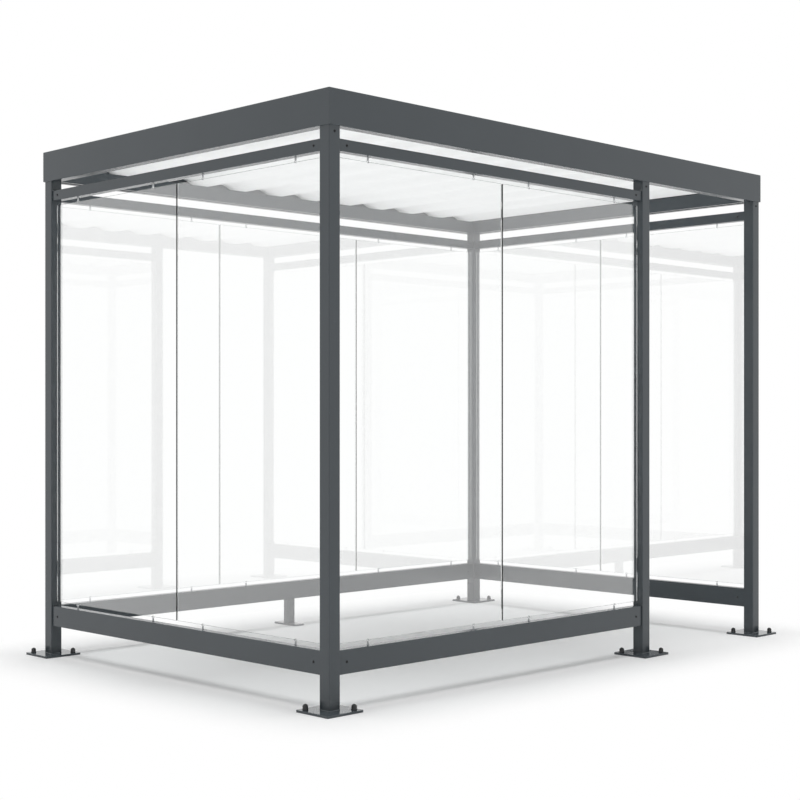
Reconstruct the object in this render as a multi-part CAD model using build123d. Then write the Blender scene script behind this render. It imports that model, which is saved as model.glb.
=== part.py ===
from build123d import *
from math import asin, ceil, cos, sin
import os

# Bus shelter: square posts, glass walls held in clips, and a flat translucent roof behind a folded fascia.
# Millimetres, +Z up, +X along the long side, -Y towards the side with the entrance.
# The origin is on the ground, under the middle of the shelter.

# Overall size, over the fascia
shelter_length = 3195.0
shelter_depth = 2151.0
shelter_height = 2528.0

# Fascia, a sheet folded inwards along its lower and upper edges
fascia_height = 150.0
fascia_gauge = 2.5
fascia_bend_radius = 4.0
fascia_lower_return = 30.0
fascia_upper_return = 22.0
fascia_overhang = 6.0
fascia_notch_gap = 1.0

# Posts, square hollow sections
post_side = 60.0
post_wall = 3.0
post_corner_radius = 4.0
entrance_width = 952.0

# Ring beam on top of the posts, as wide as they are
beam_height = 73.0
beam_wall = 3.0
beam_corner_radius = 4.0

# Rails between the posts
rail_depth = 45.0
rail_wall = 3.0
rail_corner_radius = 3.0
lower_rail_height = 100.0
lower_rail_clearance = 148.5
upper_rail_height = 50.0
upper_rail_drop = 48.5

# Glass panes, which stand clear of the rails, the posts and each other
pane_thickness = 8.0
pane_inward_offset = 5.0
pane_rail_gap = 21.5
pane_post_gap = 3.0
pane_joint_gap = 8.0

# Glass clips, slim blocks with a slot for the edge of the pane
clip_width = 10.0
clip_depth = 14.0
clip_cover = 5.0
clip_slack = 0.3
clip_inset = 185.0
clip_chamfer = 1.5

# Base plates, with two anchor bores on one diagonal
plate_side = 195.0
plate_thickness = 10.0
plate_corner_radius = 4.0
anchor_bore = 14.0
anchor_offset = 70.0

# Short leg under the middle of the rear rail
leg_side = 45.0
leg_wall = 3.0
leg_corner_radius = 3.0
leg_plate_width = 68.0
leg_plate_length = 185.0

# Roof sheet, with waves that run from front to rear and one crest near the middle line
sheet_gauge = 2.0
sheet_pitch = 264.0
sheet_wave_height = 34.0
sheet_crest_offset = 39.0

# How far a cutting shape runs past what it cuts
overrun = 10.0

# Places that follow from the sizes above
fascia_bottom = shelter_height - fascia_height
beam_bottom = fascia_bottom + fascia_gauge
beam_top = beam_bottom + beam_height
beam_length = shelter_length - 2 * fascia_overhang
beam_depth = shelter_depth - 2 * fascia_overhang
post_x = (beam_length - post_side) / 2
post_y = (beam_depth - post_side) / 2
entrance_post_x = post_x - entrance_width - post_side
lower_rail_top = lower_rail_clearance + lower_rail_height
upper_rail_bottom = fascia_bottom - upper_rail_drop - upper_rail_height
pane_bottom = lower_rail_top + pane_rail_gap
pane_top = upper_rail_bottom - pane_rail_gap

post_places = {
    "rear_left": (-post_x, post_y),
    "front_left": (-post_x, -post_y),
    "entrance": (entrance_post_x, -post_y),
    "front_right": (post_x, -post_y),
    "rear_right": (post_x, post_y),
}

# Each side has its own frame: local X runs along it, local Y points inwards
side_turns = {"front": 0, "right": 90, "rear": 180, "left": 270}
half_depths = {
    "front": shelter_depth / 2,
    "right": shelter_length / 2,
    "rear": shelter_depth / 2,
    "left": shelter_length / 2,
}
side_lengths = {
    "front": shelter_length,
    "right": shelter_depth,
    "rear": shelter_length,
    "left": shelter_depth,
}

# Clear length of each wall between its posts, the middle of that length, and its panes in local X order
front_wall_length = entrance_post_x + post_x - post_side
walls = {
    "front": (front_wall_length, (entrance_post_x - post_x) / 2, ("left", "right")),
    "right": (2 * post_y - post_side, 0, ("front", "rear")),
    "rear": (2 * post_x - post_side, 0, ("right", "middle", "left")),
    "left": (2 * post_y - post_side, 0, ("rear", "front")),
}


def save(node, shape):
    export_step(shape, f"parts/{node}.step")


def side_frame(side, inset):
    """The frame of one side, its origin lying inset from the outer face of the fascia."""
    return Rot(0, 0, side_turns[side]) * Pos(0, inset - half_depths[side], 0)


def hollow_section(width, height, wall, corner_radius):
    outline = RectangleRounded(width, height, corner_radius)
    return outline - Rectangle(width - 2 * wall, height - 2 * wall)


def upright(side, wall, corner_radius, bottom, top):
    section = hollow_section(side, side, wall, corner_radius)
    return Pos(0, 0, bottom) * extrude(section, top - bottom)


def along_x(section, length):
    return extrude(Plane.YZ * section, length / 2, both=True)


def mitred(section, length, depth, height):
    """A bar along X whose ends are cut back at 45 degrees from its outer face, which lies at Y = 0."""
    corners = [
        (-length / 2, 0),
        (length / 2, 0),
        (length / 2 - depth, depth),
        (depth - length / 2, depth),
    ]
    plan = make_face(Polyline(*corners, close=True))
    return along_x(section, length) & extrude(plan, height)


def base_plate(width, length):
    return extrude(RectangleRounded(width, length, plate_corner_radius), plate_thickness)


def post_plate():
    bores = [
        Pos(-anchor_offset, anchor_offset) * Circle(anchor_bore / 2),
        Pos(anchor_offset, -anchor_offset) * Circle(anchor_bore / 2),
    ]
    bore_length = plate_thickness + 2 * overrun
    plate = base_plate(plate_side, plate_side)
    for bore in bores:
        plate -= Pos(0, 0, -overrun) * extrude(bore, bore_length)
    return plate


def glass_clip():
    """A clip that stands on a rail at Z = 0 and takes the lower edge of a pane in its slot."""
    height = pane_rail_gap + clip_cover
    plan = Rectangle(clip_width, clip_depth)
    block = extrude(chamfer(plan.vertices(), clip_chamfer), height)
    slot_width = pane_thickness + 2 * clip_slack
    slot = Pos(0, 0, pane_rail_gap) * extrude(Rectangle(clip_width + overrun, slot_width), clip_cover + overrun)
    return block - slot


def fascia_strip(side):
    fold = FilletPolyline(
        (fascia_lower_return, 0),
        (0, 0),
        (0, fascia_height),
        (fascia_upper_return, fascia_height),
        radius=fascia_bend_radius,
    )
    section = make_face(offset(fold, fascia_gauge, side=Side.RIGHT))
    depth = max(fascia_lower_return, fascia_upper_return)
    strip = mitred(section, side_lengths[side], depth, fascia_height)
    strip = side_frame(side, 0) * Pos(0, 0, fascia_bottom) * strip
    notch_side = post_side + 2 * fascia_notch_gap
    for x, y in post_places.values():
        strip -= Pos(x, y, fascia_bottom) * Box(notch_side, notch_side, 2 * (fascia_gauge + overrun))
    return strip


def ring_beam(side):
    section = Pos(post_side / 2, beam_height / 2) * hollow_section(
        post_side, beam_height, beam_wall, beam_corner_radius
    )
    length = side_lengths[side] - 2 * fascia_overhang
    beam = mitred(section, length, post_side, beam_height)
    return side_frame(side, fascia_overhang) * Pos(0, 0, beam_bottom) * beam


def wave_arcs(rise, half_waves):
    """Tangent arcs along the sheet's middle surface, or rise above it, with a crest at X = 0."""
    quarter = sheet_pitch / 4
    radius = (quarter**2 + (sheet_wave_height / 2) ** 2) / sheet_wave_height
    slope = asin(quarter / radius)
    arcs = []
    for step in range(-half_waves, half_waves + 1):
        crest = 1 if step % 2 == 0 else -1
        middle = step * sheet_pitch / 2
        reach = quarter + crest * rise * sin(slope)
        start = (middle - reach, rise * cos(slope))
        peak = (middle, crest * sheet_wave_height / 2 + rise)
        end = (middle + reach, rise * cos(slope))
        arcs.append(ThreePointArc(start, peak, end))
    return arcs


def roof_sheet():
    reach = beam_length / 2 + abs(sheet_crest_offset)
    half_waves = ceil(2 * reach / sheet_pitch) + 1
    under = wave_arcs(-sheet_gauge / 2, half_waves)
    over = wave_arcs(sheet_gauge / 2, half_waves)
    ends = [Line(under[0] @ 0, over[0] @ 0), Line(under[-1] @ 1, over[-1] @ 1)]
    ribbon = make_face(under + over + ends)
    section = Pos(sheet_crest_offset, 0) * ribbon & Rectangle(beam_length, 2 * sheet_wave_height)
    middle_height = beam_top + (sheet_wave_height + sheet_gauge) / 2
    return Pos(0, 0, middle_height) * extrude(Plane.XZ * section, beam_depth / 2, both=True)


def build_posts():
    for name, (x, y) in post_places.items():
        post = upright(post_side, post_wall, post_corner_radius, plate_thickness, beam_bottom)
        save(f"post_{name}", Pos(x, y, 0) * post)
        save(f"base_plate_{name}", Pos(x, y, 0) * post_plate())


def build_middle_leg():
    leg = upright(leg_side, leg_wall, leg_corner_radius, plate_thickness, lower_rail_clearance)
    save("leg_rear_middle", Pos(0, post_y, 0) * leg)
    save("base_plate_rear_middle", Pos(0, post_y, 0) * base_plate(leg_plate_width, leg_plate_length))


def build_rails(side, place, length):
    levels = {
        "lower": (lower_rail_clearance, lower_rail_height),
        "upper": (upper_rail_bottom, upper_rail_height),
    }
    for level, (bottom, height) in levels.items():
        section = hollow_section(rail_depth, height, rail_wall, rail_corner_radius)
        rail = along_x(section, length)
        save(f"{level}_rail_{side}", place * Pos(0, 0, bottom + height / 2) * rail)


def build_glazing(side, place, length, pane_names):
    count = len(pane_names)
    pane_width = (length - 2 * pane_post_gap - (count - 1) * pane_joint_gap) / count
    lower_clip = glass_clip()
    upper_clip = Rot(180, 0, 0) * lower_clip
    clips = []
    for index, name in enumerate(pane_names):
        middle = (index - (count - 1) / 2) * (pane_width + pane_joint_gap)
        pane_place = place * Pos(middle, pane_inward_offset, 0)
        height = pane_top - pane_bottom
        pane = extrude(Rectangle(pane_width, pane_thickness), height)
        save(f"glass_{side}_{name}", pane_place * Pos(0, 0, pane_bottom) * pane)
        for across in (clip_inset - pane_width / 2, pane_width / 2 - clip_inset):
            clips.append(pane_place * Pos(across, 0, lower_rail_top) * lower_clip)
            clips.append(pane_place * Pos(across, 0, upper_rail_bottom) * upper_clip)
    save(f"glass_clips_{side}", Compound([clip.solid() for clip in clips]))


os.makedirs("parts", exist_ok=True)
build_posts()
build_middle_leg()
for side, (length, middle, pane_names) in walls.items():
    place = side_frame(side, fascia_overhang + post_side / 2) * Pos(middle, 0, 0)
    build_rails(side, place, length)
    build_glazing(side, place, length, pane_names)
for side in side_turns:
    save(f"ring_beam_{side}", ring_beam(side))
    save(f"fascia_{side}", fascia_strip(side))
save("roof_sheet", roof_sheet())
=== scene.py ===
# %% [markdown]
# The bus shelter comes in as a fixed frame: each post, rail, pane and plate already has its real size
# and place, in metres, with the ground at height zero. Blender gives it its finishes and the small
# pieces that the frame leaves out. The box around the bare frame is kept at once, and the floor later
# takes the shelter's footprint from it.

# %% Load the frame
from math import cos, pi, radians, sin

import bpy
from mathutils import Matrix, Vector


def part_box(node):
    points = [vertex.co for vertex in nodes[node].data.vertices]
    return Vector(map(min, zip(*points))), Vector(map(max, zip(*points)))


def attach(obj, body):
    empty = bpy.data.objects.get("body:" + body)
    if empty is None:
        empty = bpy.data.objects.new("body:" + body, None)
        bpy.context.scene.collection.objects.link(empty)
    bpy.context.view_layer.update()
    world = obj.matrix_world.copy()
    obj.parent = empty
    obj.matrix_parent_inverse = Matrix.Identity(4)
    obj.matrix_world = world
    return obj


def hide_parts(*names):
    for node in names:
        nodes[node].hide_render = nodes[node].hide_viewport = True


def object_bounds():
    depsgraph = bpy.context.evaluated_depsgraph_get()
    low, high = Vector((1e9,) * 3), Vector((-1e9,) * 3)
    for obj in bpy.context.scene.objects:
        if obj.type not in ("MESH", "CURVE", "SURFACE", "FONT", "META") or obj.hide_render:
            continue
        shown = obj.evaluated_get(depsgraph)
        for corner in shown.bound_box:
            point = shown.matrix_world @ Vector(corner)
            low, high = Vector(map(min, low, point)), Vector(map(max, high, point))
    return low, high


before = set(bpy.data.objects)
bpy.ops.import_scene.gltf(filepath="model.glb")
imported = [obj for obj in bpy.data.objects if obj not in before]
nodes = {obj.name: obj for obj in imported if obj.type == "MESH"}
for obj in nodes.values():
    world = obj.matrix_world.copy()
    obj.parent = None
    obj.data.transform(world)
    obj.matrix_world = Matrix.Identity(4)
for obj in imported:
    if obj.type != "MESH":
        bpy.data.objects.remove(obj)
cad_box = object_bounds()
print("frame:", len(nodes), "nodes, highest point", round(cad_box[1].z, 3), "m")

# %% [markdown]
# The camera stands a little below eye level, off the nearest corner, and looks level, so that all the
# posts stay upright in the picture. The picture is shifted up a little instead of tilting the camera.
# A tilted camera would frame the shelter as well, but its posts would lean towards each other.

# %% Camera
picture_side_px = 800
focal_length_px = 1508.0
horizon_row_px = 415.15
sensor_width_mm = 36.0
camera_place = (-5.6588, -5.5909, 1.2050)
camera_turn = radians(-44.661)

bpy.ops.object.camera_add(location=camera_place, rotation=(pi / 2, 0, camera_turn))
camera = bpy.context.object
camera.name = "camera"
camera.data.sensor_width = sensor_width_mm
camera.data.lens = sensor_width_mm * focal_length_px / picture_side_px
camera.data.shift_y = (horizon_row_px - picture_side_px / 2) / picture_side_px
bpy.context.scene.camera = camera
bpy.context.scene.view_settings.view_transform = "Standard"
print("camera: lens", round(camera.data.lens, 2), "mm, shift", round(camera.data.shift_y, 4))

# %% [markdown]
# Finishes are node trees, and sums of sockets are hard to read as long lists of nodes and links. So one
# small class wraps an output socket, and Python's own signs then add the Math nodes. A second class
# wraps the tree: its one method makes any node, from its type, its settings and its inputs.


# %% Sums on sockets
class Wire:
    """An output socket. A sum that uses it adds a Math node to the same tree."""

    def __init__(self, tree, socket):
        self.tree = tree
        self.socket = socket

    def output(self, name):
        return Wire(self.tree, self.socket.node.outputs[name])

    def maths(self, operation, first, second):
        return self.tree.node("ShaderNodeMath", {"operation": operation}, {0: first, 1: second})

    def __add__(self, other):
        return self.maths("ADD", self, other)

    def __radd__(self, other):
        return self.maths("ADD", other, self)

    def __sub__(self, other):
        return self.maths("SUBTRACT", self, other)

    def __rsub__(self, other):
        return self.maths("SUBTRACT", other, self)

    def __mul__(self, other):
        return self.maths("MULTIPLY", self, other)

    def __rmul__(self, other):
        return self.maths("MULTIPLY", other, self)

    def __or__(self, other):
        """The larger of two values, which joins two masks."""
        return self.maths("MAXIMUM", self, other)


print("sums on sockets ready: add, subtract, multiply, join")


# %% One method for every node
class NodeTree:
    """The node tree of a finish, emptied first."""

    def __init__(self, tree):
        self.tree = tree
        tree.nodes.clear()

    def node(self, kind, settings=None, inputs=None, output=0):
        made = self.tree.nodes.new(kind)
        for name, value in (settings or {}).items():
            setattr(made, name, value)
        for name, value in (inputs or {}).items():
            if isinstance(value, Wire):
                self.tree.links.new(value.socket, made.inputs[name])
            else:
                made.inputs[name].default_value = value
        return Wire(self, made.outputs[output] if made.outputs else None)


def new_finish(name):
    material = bpy.data.materials.new(name)
    material.use_nodes = True
    return material, NodeTree(material.node_tree)


def show(tree, shader):
    tree.node("ShaderNodeOutputMaterial", inputs={"Surface": shader})


print("node trees ready")

# %% [markdown]
# A few parts come back in most finishes, so they are written once: cloudy patterns fixed to the object,
# bump, mixes of two colours or two shaders, and tests on the kind of ray. The last ones tell what the
# camera sees from what only carries light.


# %% Parts of a finish
def object_place(tree):
    return tree.node("ShaderNodeTexCoord").output("Object")


def noise(tree, place, scale, detail):
    return tree.node("ShaderNodeTexNoise", inputs={"Vector": place, "Scale": scale, "Detail": detail})


def bump(tree, height, strength, depth, normal=None):
    inputs = {"Height": height, "Strength": strength, "Distance": depth}
    if normal:
        inputs["Normal"] = normal
    return tree.node("ShaderNodeBump", inputs=inputs)


def vector_maths(tree, operation, *vectors):
    return tree.node("ShaderNodeVectorMath", {"operation": operation}, dict(enumerate(vectors)))


def mixed_colour(tree, share, first, second):
    inputs = {0: share, 6: (*first, 1.0), 7: (*second, 1.0)}
    return tree.node("ShaderNodeMix", {"data_type": "RGBA"}, inputs, output=2)


def mixed_shader(tree, share, first, second):
    return tree.node("ShaderNodeMixShader", inputs={0: share, 1: first, 2: second})


def for_rays(tree, kind, shader, other):
    """The shader, with another in its place for one kind of Light Path ray."""
    return mixed_shader(tree, tree.node("ShaderNodeLightPath", output=kind), shader, other)


def seen_directly(tree):
    """1 for what the camera sees itself, in a gloss or through the glass, and 0 for light that bounces."""
    path = tree.node("ShaderNodeLightPath", output="Is Camera Ray")
    return path | path.output("Is Glossy Ray") | path.output("Is Transmission Ray")


print("parts of a finish ready")

# %% [markdown]
# A product picture like this one is lit by one broad soft light overhead, in a white surround that has
# no visible end. The surround is white only where the camera, a gloss or the glass looks at it, and
# much dimmer as a lamp, so the shelter isn't flooded with light. A small lamp close above would light
# the roof far more than the floor and burn it out, so the lamp is very large and hangs high.

# %% Surround
surround_light = 0.28

world = bpy.data.worlds.new("white_surround")
world.use_nodes = True
bpy.context.scene.world = world
sky = NodeTree(world.node_tree)
sky_colour = mixed_colour(sky, seen_directly(sky), [surround_light] * 3, [1.0] * 3)
background = sky.node("ShaderNodeBackground", inputs={"Color": sky_colour, "Strength": 1.0})
sky.node("ShaderNodeOutputWorld", inputs={"Surface": background})
print("surround: white to look at,", surround_light, "as a lamp")

# %% Lamp
lamp_size = (19.5, 18.0)
lamp_place = (0.0, -0.3, 20.0)
lamp_watts = 4250.0

bpy.ops.object.select_all(action="DESELECT")
bpy.ops.object.light_add(type="AREA", location=lamp_place)
lamp = bpy.context.object
lamp.name = "overhead_lamp"
lamp.data.shape = "RECTANGLE"
lamp.data.size = lamp_size[0]
lamp.data.size_y = lamp_size[1]
lamp.data.energy = lamp_watts
lamp.visible_camera = False
lamp.visible_glossy = False
lamp.visible_transmission = False
print("lamp:", lamp_watts, "W over", lamp_size[0] * lamp_size[1], "square metres")

# %% [markdown]
# The floor is a real white surface that takes the shelter's shadow. Past the shelter's own footprint it
# turns softly into a plain white glow, which only the camera, a gloss or the glass sees. So the far
# floor melts into the surround and shows no edge, and it lights the shelter no more than paper would.

# %% Floor
floor_side = 80.0
floor_drop = 0.0005
floor_white = 0.93
floor_glow_near = 0.05
glow_reach = 0.5

bpy.ops.mesh.primitive_plane_add(size=floor_side, location=(0, 0, -floor_drop))
floor = bpy.context.object
floor.name = "studio_floor"

floor_finish, tree = new_finish("studio_floor")
footprint = (cad_box[1].x, cad_box[1].y, 0.0)
folded = vector_maths(tree, "ABSOLUTE", object_place(tree))
past_edge = vector_maths(tree, "SUBTRACT", folded, footprint)
outside = vector_maths(tree, "MAXIMUM", past_edge, (0.0, 0.0, 0.0))
distance = vector_maths(tree, "LENGTH", outside).output("Value")
glow_range = {"Value": distance, "From Min": 0.0, "From Max": glow_reach, "To Min": floor_glow_near}
glow_share = tree.node("ShaderNodeMapRange", {"interpolation_type": "SMOOTHSTEP"}, glow_range)
paper = tree.node("ShaderNodeBsdfDiffuse", inputs={"Color": (floor_white, floor_white, floor_white, 1.0)})
glow = tree.node("ShaderNodeEmission", inputs={"Color": (1.0, 1.0, 1.0, 1.0), "Strength": 1.0})
show(tree, mixed_shader(tree, glow_share * seen_directly(tree), paper, glow))
floor.data.materials.append(floor_finish)
print("floor:", floor_side, "m square")

# %% [markdown]
# The steel frame is powder coated in anthracite, a dark grey with a little blue in it. A powder coat is
# nearly even, so its detail is small: a soft cloudiness in the colour and the gloss, and the fine
# orange peel that the melted powder leaves. The folded fascia also has the slight waviness of sheet
# metal, and the base plates are smoother, so that the foot of a post is mirrored in them.

# %% Powder coats
coat_dark = (0.052, 0.064, 0.073)
coat_light = (0.064, 0.077, 0.087)
coat_ior = 1.5
cloud_scale = 3.0
cloud_gloss_spread = 0.1
peel_scale = 380.0
peel_depth = 0.00012
wave_scale = 1.6
wave_depth = 0.004


def powder_coat(name, gloss_loss, peel_strength, wave_strength):
    material, tree = new_finish(name)
    place = object_place(tree)
    clouds = noise(tree, place, cloud_scale, detail=4.0)
    waves = bump(tree, noise(tree, place, wave_scale, detail=1.0), wave_strength, wave_depth)
    peel = bump(tree, noise(tree, place, peel_scale, detail=2.0), peel_strength, peel_depth, waves)
    coat = {
        "Base Color": mixed_colour(tree, clouds, coat_dark, coat_light),
        "Roughness": gloss_loss + cloud_gloss_spread * (clouds - 0.5),
        "IOR": coat_ior,
        "Normal": peel,
    }
    show(tree, tree.node("ShaderNodeBsdfPrincipled", inputs=coat))
    return material


frame_coat = powder_coat("frame_powder_coat", gloss_loss=0.21, peel_strength=0.35, wave_strength=0.0)
fascia_coat = powder_coat("fascia_powder_coat", gloss_loss=0.20, peel_strength=0.35, wave_strength=0.12)
plate_coat = powder_coat("plate_powder_coat", gloss_loss=0.13, peel_strength=0.15, wave_strength=0.0)
print("powder coats:", frame_coat.name, fascia_coat.name, plate_coat.name)

# %% [markdown]
# The panes are clear toughened glass. Its faces mirror the white surround quite strongly, which veils
# the rear of the frame, so a clear coat is laid over the glass. Toughening leaves a very slight
# ripple, made here as bump. The cut edges are polished and look along the sheet, where even clear
# glass is green. Daylight should also reach the floor through the panes, and a path tracer finds such
# light only by chance. So rays that carry light go straight through, and all others are bent.

# %% Clear materials
glass_ior = 1.52
glass_daylight = (0.97, 0.98, 0.98, 1.0)


def show_glass(tree, glass):
    """Shows this glass, but lets the rays of lamps and of bounced light go straight through."""
    body = tree.node("ShaderNodeBsdfPrincipled", inputs=glass)
    clear = tree.node("ShaderNodeBsdfTransparent", inputs={"Color": glass_daylight})
    open_to_bounces = for_rays(tree, "Is Diffuse Ray", body, clear)
    show(tree, for_rays(tree, "Is Shadow Ray", open_to_bounces, clear))


print("clear materials pass on", glass_daylight[:3], "of the daylight")

# %% Glass of the panes
glass_tint = (0.995, 1.0, 0.998, 1.0)
glass_coat_ior = 1.75
ripple_scale = 3.0
ripple_depth = 0.0004
ripple_strength = 0.03
edge_dark = (0.80, 0.93, 0.89)
edge_light = (0.90, 0.97, 0.95)
edge_grain_scale = 900.0
edge_gloss_spread = 0.06


def toughened_glass():
    material, tree = new_finish("toughened_glass")
    ripple = noise(tree, object_place(tree), ripple_scale, detail=1.0)
    glass = {
        "Base Color": glass_tint,
        "Roughness": 0.0,
        "IOR": glass_ior,
        "Transmission Weight": 1.0,
        "Coat Weight": 1.0,
        "Coat Roughness": 0.0,
        "Coat IOR": glass_coat_ior,
        "Normal": bump(tree, ripple, ripple_strength, ripple_depth),
    }
    show_glass(tree, glass)
    return material


def polished_edge():
    material, tree = new_finish("polished_glass_edge")
    grain = noise(tree, object_place(tree), edge_grain_scale, detail=2.0)
    edge = {
        "Base Color": mixed_colour(tree, grain, edge_dark, edge_light),
        "Roughness": edge_gloss_spread * grain,
        "IOR": glass_ior,
        "Transmission Weight": 1.0,
    }
    show_glass(tree, edge)
    return material


pane_finishes = [toughened_glass(), polished_edge()]
print("glass:", [finish.name for finish in pane_finishes])

# %% [markdown]
# The roof is a corrugated sheet of white translucent plastic: daylight falls through it, so that its
# underside glows. A plain white would stay grey underneath, so a white plastic is mixed with a
# Translucent shader, and a share of the lamp's light goes straight on to the floor. The fibres in such
# a sheet show as a faint cloudy grain.

# %% Opal roof sheet
opal_low = (0.79, 0.793, 0.793)
opal_high = (0.87, 0.873, 0.873)
opal_glow = (0.86, 0.863, 0.863, 1.0)
opal_ior = 1.5
opal_gloss_loss = 0.25
opal_gloss_spread = 0.15
opal_clearness = 0.40
opal_translucency = 0.42
fibre_scale = 45.0


def opal_plastic():
    material, tree = new_finish("opal_plastic")
    fibres = noise(tree, object_place(tree), fibre_scale, detail=6.0)
    skin = {
        "Base Color": mixed_colour(tree, fibres, opal_low, opal_high),
        "Roughness": opal_gloss_loss + opal_gloss_spread * fibres,
        "IOR": opal_ior,
    }
    body = tree.node("ShaderNodeBsdfPrincipled", inputs=skin)
    light_through = tree.node("ShaderNodeBsdfTranslucent", inputs={"Color": opal_glow})
    sheet = mixed_shader(tree, opal_translucency, body, light_through)
    clear = tree.node("ShaderNodeBsdfTransparent", inputs={"Color": opal_glow})
    lamp_side = mixed_shader(tree, opal_clearness, sheet, clear)
    show(tree, for_rays(tree, "Is Shadow Ray", sheet, lamp_side))
    return material


opal = opal_plastic()
print("roof finish:", opal.name)

# %% [markdown]
# The small hardware has four opaque finishes. The pins of the glass clips are pale satin steel with a
# fine grain. The screws and the ground anchors with their washers are blackened steel, and the caps over
# the anchors are black moulded plastic with a slightly uneven gloss. The roof screws, which show from
# above only, are zinc plated. All are one kind of surface with other numbers, so one function makes them.

# %% Hardware finishes
grain_strength = 0.12
grain_depth = 0.0001
grain_gloss_spread = 0.12


def hardware_finish(name, dark, light, metallic, gloss_loss, grain_scale):
    material, tree = new_finish(name)
    grain = noise(tree, object_place(tree), grain_scale, detail=3.0)
    surface = {
        "Base Color": mixed_colour(tree, grain, dark, light),
        "Metallic": metallic,
        "Roughness": gloss_loss + grain_gloss_spread * grain,
        "Normal": bump(tree, grain, grain_strength, grain_depth),
    }
    show(tree, tree.node("ShaderNodeBsdfPrincipled", inputs=surface))
    return material


satin_steel = hardware_finish(
    "satin_steel", dark=(0.78, 0.79, 0.80), light=(0.86, 0.87, 0.88),
    metallic=0.4, gloss_loss=0.28, grain_scale=900.0,
)
black_steel = hardware_finish(
    "blackened_steel", dark=(0.012, 0.013, 0.014), light=(0.03, 0.031, 0.033),
    metallic=0.5, gloss_loss=0.35, grain_scale=700.0,
)
black_plastic = hardware_finish(
    "black_cap_plastic", dark=(0.010, 0.011, 0.012), light=(0.018, 0.019, 0.02),
    metallic=0.0, gloss_loss=0.3, grain_scale=500.0,
)
zinc = hardware_finish(
    "zinc_plated_steel", dark=(0.5, 0.5, 0.5), light=(0.68, 0.68, 0.66),
    metallic=1.0, gloss_loss=0.3, grain_scale=600.0,
)
print("hardware:", satin_steel.name, black_steel.name, black_plastic.name, zinc.name)

# %% [markdown]
# The frame's own solids keep their shape and only change their finish. Their names say what they are,
# so the first word of a name picks the finish.

# %% Finish the frame
finish_by_name = {
    "post": frame_coat,
    "leg": frame_coat,
    "lower": frame_coat,
    "upper": frame_coat,
    "ring": frame_coat,
    "fascia": fascia_coat,
    "base": plate_coat,
    "roof": opal,
}
finished = 0
for name, node in nodes.items():
    finish = finish_by_name.get(name.split("_")[0])
    if finish:
        node.material_slots[0].material = finish
        finished += 1
print("finished:", finished, "of", len(nodes), "nodes")

# %% [markdown]
# New pieces are modelled as by hand, with Blender's operators. An operator works on all that is selected,
# so each helper below first selects only what it should change. Faces and edges are picked by a test on
# their place and direction, because their numbers change with every operation.

# %% Select and pick
# A face counts as square to an axis where its normal has more than this part along it
square_on = 0.9


def make_active(piece):
    bpy.ops.object.select_all(action="DESELECT")
    piece.select_set(True)
    bpy.context.view_layer.objects.active = piece


def edit(piece):
    make_active(piece)
    bpy.ops.object.mode_set(mode="EDIT")


def leave_edit():
    bpy.ops.object.mode_set(mode="OBJECT")


def pick_faces(piece, test):
    """In edit mode, selects the faces whose middle and normal pass the test."""
    bpy.ops.mesh.select_mode(type="FACE")
    bpy.ops.mesh.select_all(action="DESELECT")
    leave_edit()
    for face in piece.data.polygons:
        face.select = test(face.center, face.normal)
    bpy.ops.object.mode_set(mode="EDIT")


def pick_edges(piece, test):
    """In edit mode, selects the edges whose two ends pass the test."""
    bpy.ops.mesh.select_mode(type="EDGE")
    bpy.ops.mesh.select_all(action="DESELECT")
    leave_edit()
    corners = [corner.co for corner in piece.data.vertices]
    for edge in piece.data.edges:
        edge.select = test(*[corners[end] for end in edge.vertices])
    bpy.ops.object.mode_set(mode="EDIT")


def paint_faces(piece, finish_number, test):
    """In edit mode, gives the faces that pass the test another of the piece's finishes."""
    pick_faces(piece, test)
    piece.active_material_index = finish_number
    bpy.ops.object.material_slot_assign()


print("faces count as square to an axis above", square_on)

# %% [markdown]
# Nearly every new piece starts as one of two things: a cube at the size and place of a box, or a short
# cylinder whose top is drawn out ring by ring, as on a lathe. A spun profile would give the same round
# pieces, but it leaves a seam and poles to close.


# %% Start a piece
def named_piece(name):
    """The primitive just added, with its name and with its place and size put into its mesh."""
    piece = bpy.context.object
    piece.name = name
    bpy.ops.object.transform_apply(location=True, rotation=True, scale=True)
    return piece


def box_piece(name, low, high):
    """A cube brought to the size and place of a box."""
    bpy.ops.object.select_all(action="DESELECT")
    low = Vector(low)
    high = Vector(high)
    bpy.ops.mesh.primitive_cube_add(size=1, location=(low + high) / 2, scale=high - low)
    return named_piece(name)


def pull(way):
    """In edit mode, pulls the picked faces out by a vector."""
    bpy.ops.mesh.extrude_region_move(TRANSFORM_OT_translate={"value": way})


def turned_piece(name, rings, sides):
    """A round piece on the Z axis, from (radius, height) rings. The first two have the same radius."""
    bpy.ops.object.select_all(action="DESELECT")
    (radius, bottom), (_, level) = rings[:2]
    middle = (0, 0, (bottom + level) / 2)
    bpy.ops.mesh.primitive_cylinder_add(vertices=sides, radius=radius, depth=level - bottom, location=middle)
    piece = named_piece(name)
    edit(piece)
    pick_faces(piece, lambda middle, normal: normal.z > square_on)
    for next_radius, next_level in rings[2:]:
        pull((0, 0, next_level - level))
        growth = next_radius / radius
        bpy.ops.transform.resize(value=(growth, growth, 1), center_override=(0, 0, next_level))
        radius = next_radius
        level = next_level
    leave_edit()
    return piece


print("cubes and turned pieces ready")

# %% [markdown]
# A piece is finished in the same few steps each time: its edges are softened, it is copied to its places
# and the copies are joined, and it is told its finish and the body that it belongs to.

# %% Finish a piece
sharp_angle = radians(30)


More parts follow.
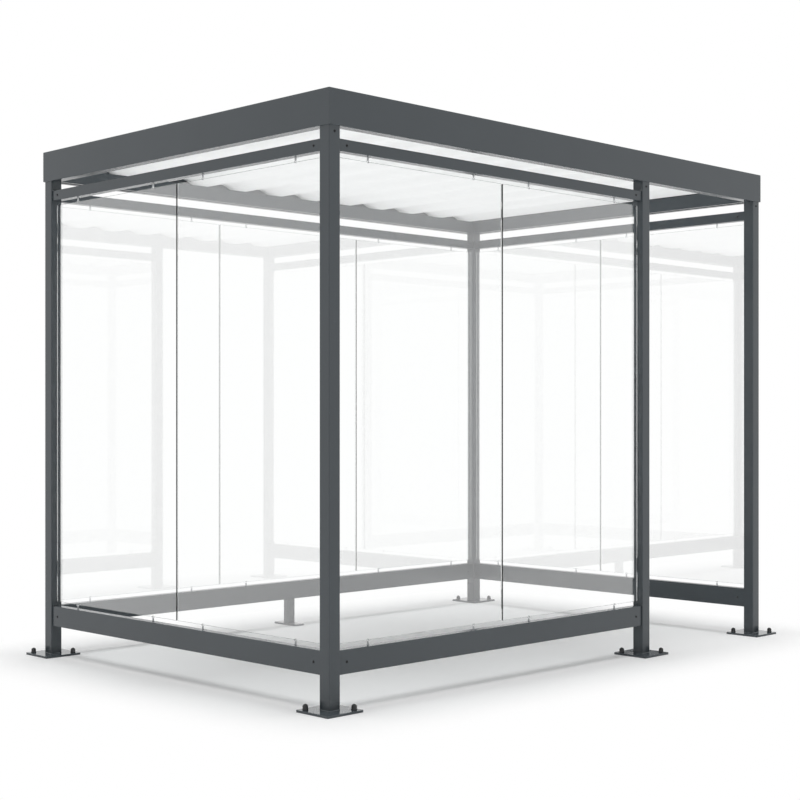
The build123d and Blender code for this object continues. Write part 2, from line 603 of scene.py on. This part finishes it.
def soften_edges(piece, width, segments):
    """Rounds every sharp edge of a piece with a Bevel modifier, applied."""
    make_active(piece)
    rounding = piece.modifiers.new("soft_edges", "BEVEL")
    rounding.width = width
    rounding.segments = segments
    rounding.limit_method = "ANGLE"
    rounding.angle_limit = sharp_angle
    bpy.ops.object.modifier_apply(modifier=rounding.name)


def shade_round(piece, degrees):
    """Shades a piece smooth across edges that turn by less than an angle."""
    make_active(piece)
    bpy.ops.object.shade_smooth_by_angle(angle=radians(degrees))


def copy_at(master, place, tip=0, turn=0):
    """A copy with its own mesh, tipped about X, turned about Z and moved to its place."""
    make_active(master)
    bpy.ops.object.duplicate()
    copy = bpy.context.object
    copy.rotation_euler = (tip, 0, turn)
    copy.location = place
    bpy.ops.object.transform_apply(location=True, rotation=True, scale=True)
    return copy


def join(name, pieces):
    make_active(pieces[0])
    for piece in pieces:
        piece.select_set(True)
    bpy.ops.object.join()
    joined = bpy.context.object
    joined.name = name
    return joined


def remove(piece):
    make_active(piece)
    bpy.ops.object.delete()


def settle(piece, finish=None, stands_for=None):
    """Gives a finished piece its finish, unless it has its own, and says where it belongs."""
    if finish:
        piece.data.materials.clear()
        piece.data.materials.append(finish)
    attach(piece, "root")
    if stands_for:
        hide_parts(stands_for)


print("edges that turn by more than", round(sharp_angle, 3), "radians are softened")

# %% [markdown]
# Each pane is one sheet of glass with its sharp edges taken off. It starts as a cube of the pane's size.
# First the four corners are rounded a little, as the glass cutter does before toughening, then a narrow
# slanted strip is ground along every edge. The two faces take the clear finish, and all the rest the
# polished one.

# %% Panes
corner_radius = 0.004
ground_strip = 0.0008


def glass_pane(node):
    low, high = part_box(node)
    size = high - low
    across = 0 if size.x < size.y else 1
    pane = box_piece(node.replace("glass", "pane"), low, high)
    for finish in pane_finishes:
        pane.data.materials.append(finish)
    edit(pane)
    pick_edges(pane, lambda start, end: abs(start[across] - end[across]) > size[across] / 2)
    bpy.ops.mesh.bevel(offset=corner_radius, segments=4, affect="EDGES")
    pick_edges(pane, lambda start, end: abs(start[across] - end[across]) < ground_strip)
    bpy.ops.mesh.bevel(offset=ground_strip, segments=1, affect="EDGES")
    paint_faces(pane, 1, lambda middle, normal: abs(normal[across]) < square_on)
    leave_edit()
    settle(pane, stands_for=node)
    return pane


panes = [glass_pane(name) for name in sorted(nodes) if name.startswith("glass_") and "clips" not in name]
print("panes:", len(panes), "with", len(panes[0].data.polygons), "faces each")

# %% [markdown]
# The four walls are turned copies of each other, so each has a turn about Z that brings the front wall
# onto it. In the front wall's own directions, X runs along the wall and Y points into the shelter.
# Where a wall's small pieces sit is read from the frame: the coordinates of their corners are sorted
# and parted at the wide gaps, which gives one run for each piece.

# %% Walls
wall_turns = {"front": 0.0, "right": pi / 2, "rear": pi, "left": 3 * pi / 2}
wall_axes = {"front": 0, "right": 1, "rear": 0, "left": 1}


def outward(side):
    return Vector((sin(wall_turns[side]), -cos(wall_turns[side]), 0))


def wall_point(side, along, across, height):
    """A point from its place along the wall's axis, its place across it, and its height."""
    if wall_axes[side] == 0:
        return Vector((along, across, height))
    return Vector((across, along, height))


def runs(values, gap):
    """Sorted values parted wherever the next one is more than a gap away, as (lowest, highest) pairs."""
    ordered = sorted(values)
    parted = [[ordered[0], ordered[0]]]
    for value in ordered:
        if value - parted[-1][1] > gap:
            parted.append([value, value])
        parted[-1][1] = value
    return parted


print("walls face", {side: [round(part) for part in outward(side)] for side in wall_turns})

# %% [markdown]
# The glass is held at its lower and upper edges by slim clips: a square steel pin on the rail, and on it
# a small fork of clear plastic, because glass should never rest on bare steel. The clip starts as a cube
# the size of the fork's base. It is cut along the sides of the slot and of the pin, then the two outer
# strips are pulled up as cheeks and the middle one down as the pin. Two joined cubes would be quicker,
# but would leave faces inside. The clip is made once, standing on a rail at the origin, and then copied
# to every place where the frame has one, tipped over for the upper rail.

# %% Clear plastic of the fork
fork_tint = (0.97, 0.98, 0.98, 1.0)
fork_ior = 1.45
fork_gloss_loss = 0.05
fork_gloss_spread = 0.1
fork_grain_scale = 600.0

clear_plastic, tree = new_finish("clear_fork_plastic")
grain = noise(tree, object_place(tree), fork_grain_scale, detail=2.0)
plastic = {
    "Base Color": fork_tint,
    "Roughness": fork_gloss_loss + fork_gloss_spread * grain,
    "IOR": fork_ior,
    "Transmission Weight": 1.0,
}
show_glass(tree, plastic)
print("fork finish:", clear_plastic.name)

# %% One glass clip
clip_slack = 0.0003
clip_edge = 0.0004
pin_side = 0.006
fork_base = 0.005
fork_cheek = 0.0012
rail_gap = 0.1

clip_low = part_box("glass_clips_front")[0]
clip_levels = runs([corner.co.z for corner in nodes["glass_clips_front"].data.vertices], rail_gap)
clip_height = clip_levels[0][1] - clip_levels[0][0]
pane_low, pane_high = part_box("glass_front_left")
slot_width = pane_high.y - pane_low.y + 2 * clip_slack
slot_floor = pane_low.z - clip_low.z
fork_bottom = slot_floor - fork_base
fork_corner = Vector((pin_side / 2, slot_width / 2 + fork_cheek, slot_floor))

clip = box_piece("clip", (-fork_corner.x, -fork_corner.y, fork_bottom), fork_corner)
clip.data.materials.append(satin_steel)
clip.data.materials.append(clear_plastic)
edit(clip)
for cut in (-slot_width / 2, -pin_side / 2, pin_side / 2, slot_width / 2):
    bpy.ops.mesh.select_all(action="SELECT")
    bpy.ops.mesh.bisect(plane_co=(0, cut, 0), plane_no=(0, 1, 0))
pick_faces(clip, lambda middle, normal: normal.z > square_on and abs(middle.y) > slot_width / 2)
pull((0, 0, clip_height - slot_floor))
pick_faces(clip, lambda middle, normal: normal.z < -square_on and abs(middle.y) < pin_side / 2)
pull((0, 0, -fork_bottom))
leave_edit()
soften_edges(clip, clip_edge, segments=2)
edit(clip)
paint_faces(clip, 1, lambda middle, normal: middle.z > fork_bottom - clip_edge / 2)
leave_edit()
shade_round(clip, degrees=35)
print("clip:", [round(1000 * part, 1) for part in clip.dimensions], "mm,", len(clip.data.polygons), "faces")

# %% Place the clips
clip_gap = 0.05

for side, turn in wall_turns.items():
    name = "glass_clips_" + side
    low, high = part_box(name)
    axis = wall_axes[side]
    middle = (low + high) / 2
    clips = []
    for start, end in runs([corner.co[axis] for corner in nodes[name].data.vertices], clip_gap):
        foot = wall_point(side, (start + end) / 2, middle[1 - axis], low.z)
        head = wall_point(side, (start + end) / 2, middle[1 - axis], high.z)
        clips.append(copy_at(clip, foot, turn=turn))
        clips.append(copy_at(clip, head, tip=pi, turn=turn))
    settle(join("clips_" + side, clips), stands_for=name)
    print("clips on the", side, "wall:", len(clips))

# %% [markdown]
# Black screws hold the rails to the posts. A button head is a low dome with a hexagon socket. The dome
# is turned ring by ring, from the rim up, and the socket is cut with a Boolean modifier, because its six
# sides don't follow the rings.

# %% Button head screw
screw_radius = 0.0055
screw_height = 0.0033
screw_rim = 0.12 * screw_height
screw_flat = 0.42 * screw_radius
socket_radius = 0.46 * screw_radius
socket_length = 1.2 * screw_height
screw_curve = (0.35, 0.7, 1.0)

screw_rings = [(screw_radius, 0.0), (screw_radius, screw_rim)]
for angle in screw_curve:
    screw_rings.append((screw_radius * cos(angle), screw_rim + (screw_height - screw_rim) * sin(angle)))
screw_rings.append((screw_flat, screw_height))
rail_screw = turned_piece("rail_screw", screw_rings, sides=20)

bpy.ops.object.select_all(action="DESELECT")
bpy.ops.mesh.primitive_cylinder_add(
    vertices=6, radius=socket_radius, depth=socket_length, location=(0, 0, screw_height)
)
key = bpy.context.object
make_active(rail_screw)
socket = rail_screw.modifiers.new("socket", "BOOLEAN")
socket.operation = "DIFFERENCE"
socket.object = key
bpy.ops.object.modifier_apply(modifier=socket.name)
remove(key)
shade_round(rail_screw, degrees=40)
print("screws:", len(rail_screw.data.polygons), "faces each")

# %% [markdown]
# Each rail is screwed to the posts through a fitting inside its ends. The screw heads show on both its
# outer and its inner face, near each end and at half height. A post also has one screw just under the
# fascia, on the long side of the shelter.

# %% Rail screws
screw_from_rail_end = 0.044

for side, turn in wall_turns.items():
    screws = []
    axis = wall_axes[side]
    for level in ("lower", "upper"):
        low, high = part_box(level + "_rail_" + side)
        middle = (low + high) / 2
        half_depth = (high - low)[1 - axis] / 2
        for along in (low[axis] + screw_from_rail_end, high[axis] - screw_from_rail_end):
            core = wall_point(side, along, middle[1 - axis], middle.z)
            for way in (1, -1):
                point = core + way * half_depth * outward(side)
                screws.append(copy_at(rail_screw, point, tip=way * pi / 2, turn=turn))
    settle(join("rail_screws_" + side, screws), black_steel)
    print("rail screws on the", side, "wall:", len(screws))

# %% Post screws
screw_below_fascia = 0.024

screw_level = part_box("fascia_front")[0].z - screw_below_fascia
posts = [name for name in sorted(nodes) if name.startswith("post_")]
screws = []
for name in posts:
    low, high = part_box(name)
    side = "front" if high.y < 0 else "rear"
    middle = (low + high) / 2
    point = Vector((middle.x, middle.y, screw_level)) + outward(side) * (high.y - low.y) / 2
    screws.append(copy_at(rail_screw, point, tip=pi / 2, turn=wall_turns[side]))
settle(join("post_screws", screws), black_steel)
print("post screws:", len(screws))

# %% [markdown]
# Every post's base plate is bolted down by two ground anchors, on one diagonal. Only a washer and a black
# plastic cap show above the plate, with the end of the anchor in the bore below. The cap has low straight
# sides with a small skirt, and a half-round top, so it is turned from rings as well.

# %% Anchor caps, washers and studs
cap_radius = 0.0117
cap_straight = 0.0115
cap_height = 0.0225
skirt_radius = 0.0127
skirt_height = 0.002
skirt_top = 0.0035
cap_curve = [radians(degrees) for degrees in (18, 36, 54, 70, 82)]
washer_radius = 0.0125
washer_thickness = 0.0015
stud_radius = 0.006

cap_rings = [(skirt_radius, 0.0), (skirt_radius, skirt_height)]
cap_rings += [(cap_radius, skirt_top), (cap_radius, cap_straight)]
for angle in cap_curve:
    cap_rings.append((cap_radius * cos(angle), cap_straight + (cap_height - cap_straight) * sin(angle)))
cap = turned_piece("cap", cap_rings, sides=28)
shade_round(cap, degrees=40)

washer_rim = (washer_radius, 0.7 * washer_thickness)
washer_top = (0.94 * washer_radius, washer_thickness)
washer = turned_piece("washer", [(washer_radius, 0.0), washer_rim, washer_top], sides=28)
shade_round(washer, degrees=30)

plate_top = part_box("base_plate_entrance")[1].z
stud_tip = (0.9 * stud_radius, plate_top + washer_thickness)
stud = turned_piece("stud", [(stud_radius, 0.0), (stud_radius, plate_top), stud_tip], sides=16)
print("anchor cap:", len(cap.data.polygons), "faces, washer:", len(washer.data.polygons), "faces")

# %% Place the anchors
anchor_offset = 0.070

for name in posts:
    low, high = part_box(name.replace("post", "base_plate"))
    middle = (low + high) / 2
    caps = []
    washers = []
    for way in (-1, 1):
        foot = Vector((middle.x + way * anchor_offset, middle.y - way * anchor_offset, 0))
        seat = foot + Vector((0, 0, plate_top))
        washers.append(copy_at(washer, seat))
        washers.append(copy_at(stud, foot))
        caps.append(copy_at(cap, seat + Vector((0, 0, washer_thickness))))
    settle(join(name.replace("post", "anchor_caps"), caps), black_plastic)
    settle(join(name.replace("post", "anchor_washers"), washers), black_steel)
print("anchors:", 2 * len(posts))

# %% [markdown]
# Posts are welded to their plates all round, and the coat runs over the weld. The bead is a ring with a
# three-sided section. It starts as a plane with rounded corners, the size of the bead's foot. An inset
# of one bead's width finds the line of the post, which is pulled up along it as the bead's inner wall.
# The upper rim and the foot are then bridged by the sloping face, whose middle is pushed out a little.

# %% Weld beads
weld_leg = 0.002
weld_bulge = 0.0004
post_corner = 0.004
leg_corner = 0.003


def weld_bead(name, plate, corner):
    low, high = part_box(name)
    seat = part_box(plate)[1].z
    half = (high.x - low.x) / 2
    foot = Vector(((low.x + high.x) / 2, (low.y + high.y) / 2, seat))
    bpy.ops.object.select_all(action="DESELECT")
    bpy.ops.mesh.primitive_plane_add(size=2 * (half + weld_leg), location=foot)
    bead = named_piece("weld_" + name)
    edit(bead)
    bpy.ops.mesh.select_all(action="SELECT")
    bpy.ops.mesh.bevel(offset=corner + weld_leg, segments=4, affect="VERTICES")
    pick_faces(bead, lambda middle, normal: True)
    bpy.ops.mesh.inset(thickness=weld_leg)
    pull((0, 0, weld_leg))
    bpy.ops.mesh.delete(type="ONLY_FACE")
    bpy.ops.mesh.select_mode(type="EDGE")
    bpy.ops.mesh.select_all(action="DESELECT")
    bpy.ops.mesh.select_non_manifold()
    bpy.ops.mesh.bridge_edge_loops(number_cuts=1, interpolation="LINEAR")
    pick_edges(bead, lambda *ends: all(0 < end.z - seat - weld_leg / 4 < weld_leg / 2 for end in ends))
    bulge = 1 + weld_bulge / half
    bpy.ops.transform.resize(value=(bulge, bulge, 1), center_override=foot)
    bpy.ops.mesh.select_all(action="SELECT")
    bpy.ops.mesh.normals_make_consistent(inside=False)
    leave_edit()
    shade_round(bead, degrees=50)
    settle(bead, frame_coat)
    return bead


beads = [weld_bead(name, name.replace("post", "base_plate"), post_corner) for name in posts]
beads.append(weld_bead("leg_rear_middle", "base_plate_rear_middle", leg_corner))
print("weld beads:", len(beads), "with", len(beads[0].data.polygons), "faces each")

# %% [markdown]
# The roof sheet lies on the front and rear beams in the troughs of its waves, and a screw with a wide
# sealing washer holds it in each trough. They lie behind the fascia and show from above only. The
# troughs are found from the lowest points of the sheet's own mesh.

# %% Roof fixing
seal_radius = 0.0095
seal_thickness = 0.003
hex_radius = 0.0055
hex_height = 0.005

seal_rim = (seal_radius, 0.5 * seal_thickness)
seal_top = (0.72 * seal_radius, seal_thickness)
fixing_washer = turned_piece("fixing_washer", [(seal_radius, 0.0), seal_rim, seal_top], sides=24)
shade_round(fixing_washer, degrees=30)

hex_rim = (hex_radius, 0.82 * hex_height)
hex_top = (0.84 * hex_radius, hex_height)
fixing_head = turned_piece("fixing_head", [(hex_radius, 0.0), hex_rim, hex_top], sides=6)
print("roof fixing:", round(1000 * (seal_thickness + hex_height), 1), "mm high")

# %% Place the roof fixings
sheet_gauge = 0.002
trough_tolerance = 0.0015
trough_gap = 0.1

sheet_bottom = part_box("roof_sheet")[0].z
sheet_points = [corner.co for corner in nodes["roof_sheet"].data.vertices]
lowest = [point.x for point in sheet_points if point.z < sheet_bottom + trough_tolerance]
troughs = [(start + end) / 2 for start, end in runs(lowest, trough_gap)]
fixings = []
for side in ("front", "rear"):
    post_low, post_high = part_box("post_" + side + "_left")
    for along in troughs:
        seat = Vector((along, (post_low.y + post_high.y) / 2, sheet_bottom + sheet_gauge))
        fixings.append(copy_at(fixing_washer, seat))
        fixings.append(copy_at(fixing_head, seat + Vector((0, 0, seal_thickness))))
settle(join("roof_fixings", fixings), zinc)
print("roof fixings:", len(fixings) // 2, "in", len(troughs), "troughs")

# %% [markdown]
# The masters that were copied have done their work and go. No new piece reaches past the base plates
# or the fascia.

# %% Clear up
for master in (clip, rail_screw, cap, washer, stud, fixing_washer, fixing_head):
    remove(master)
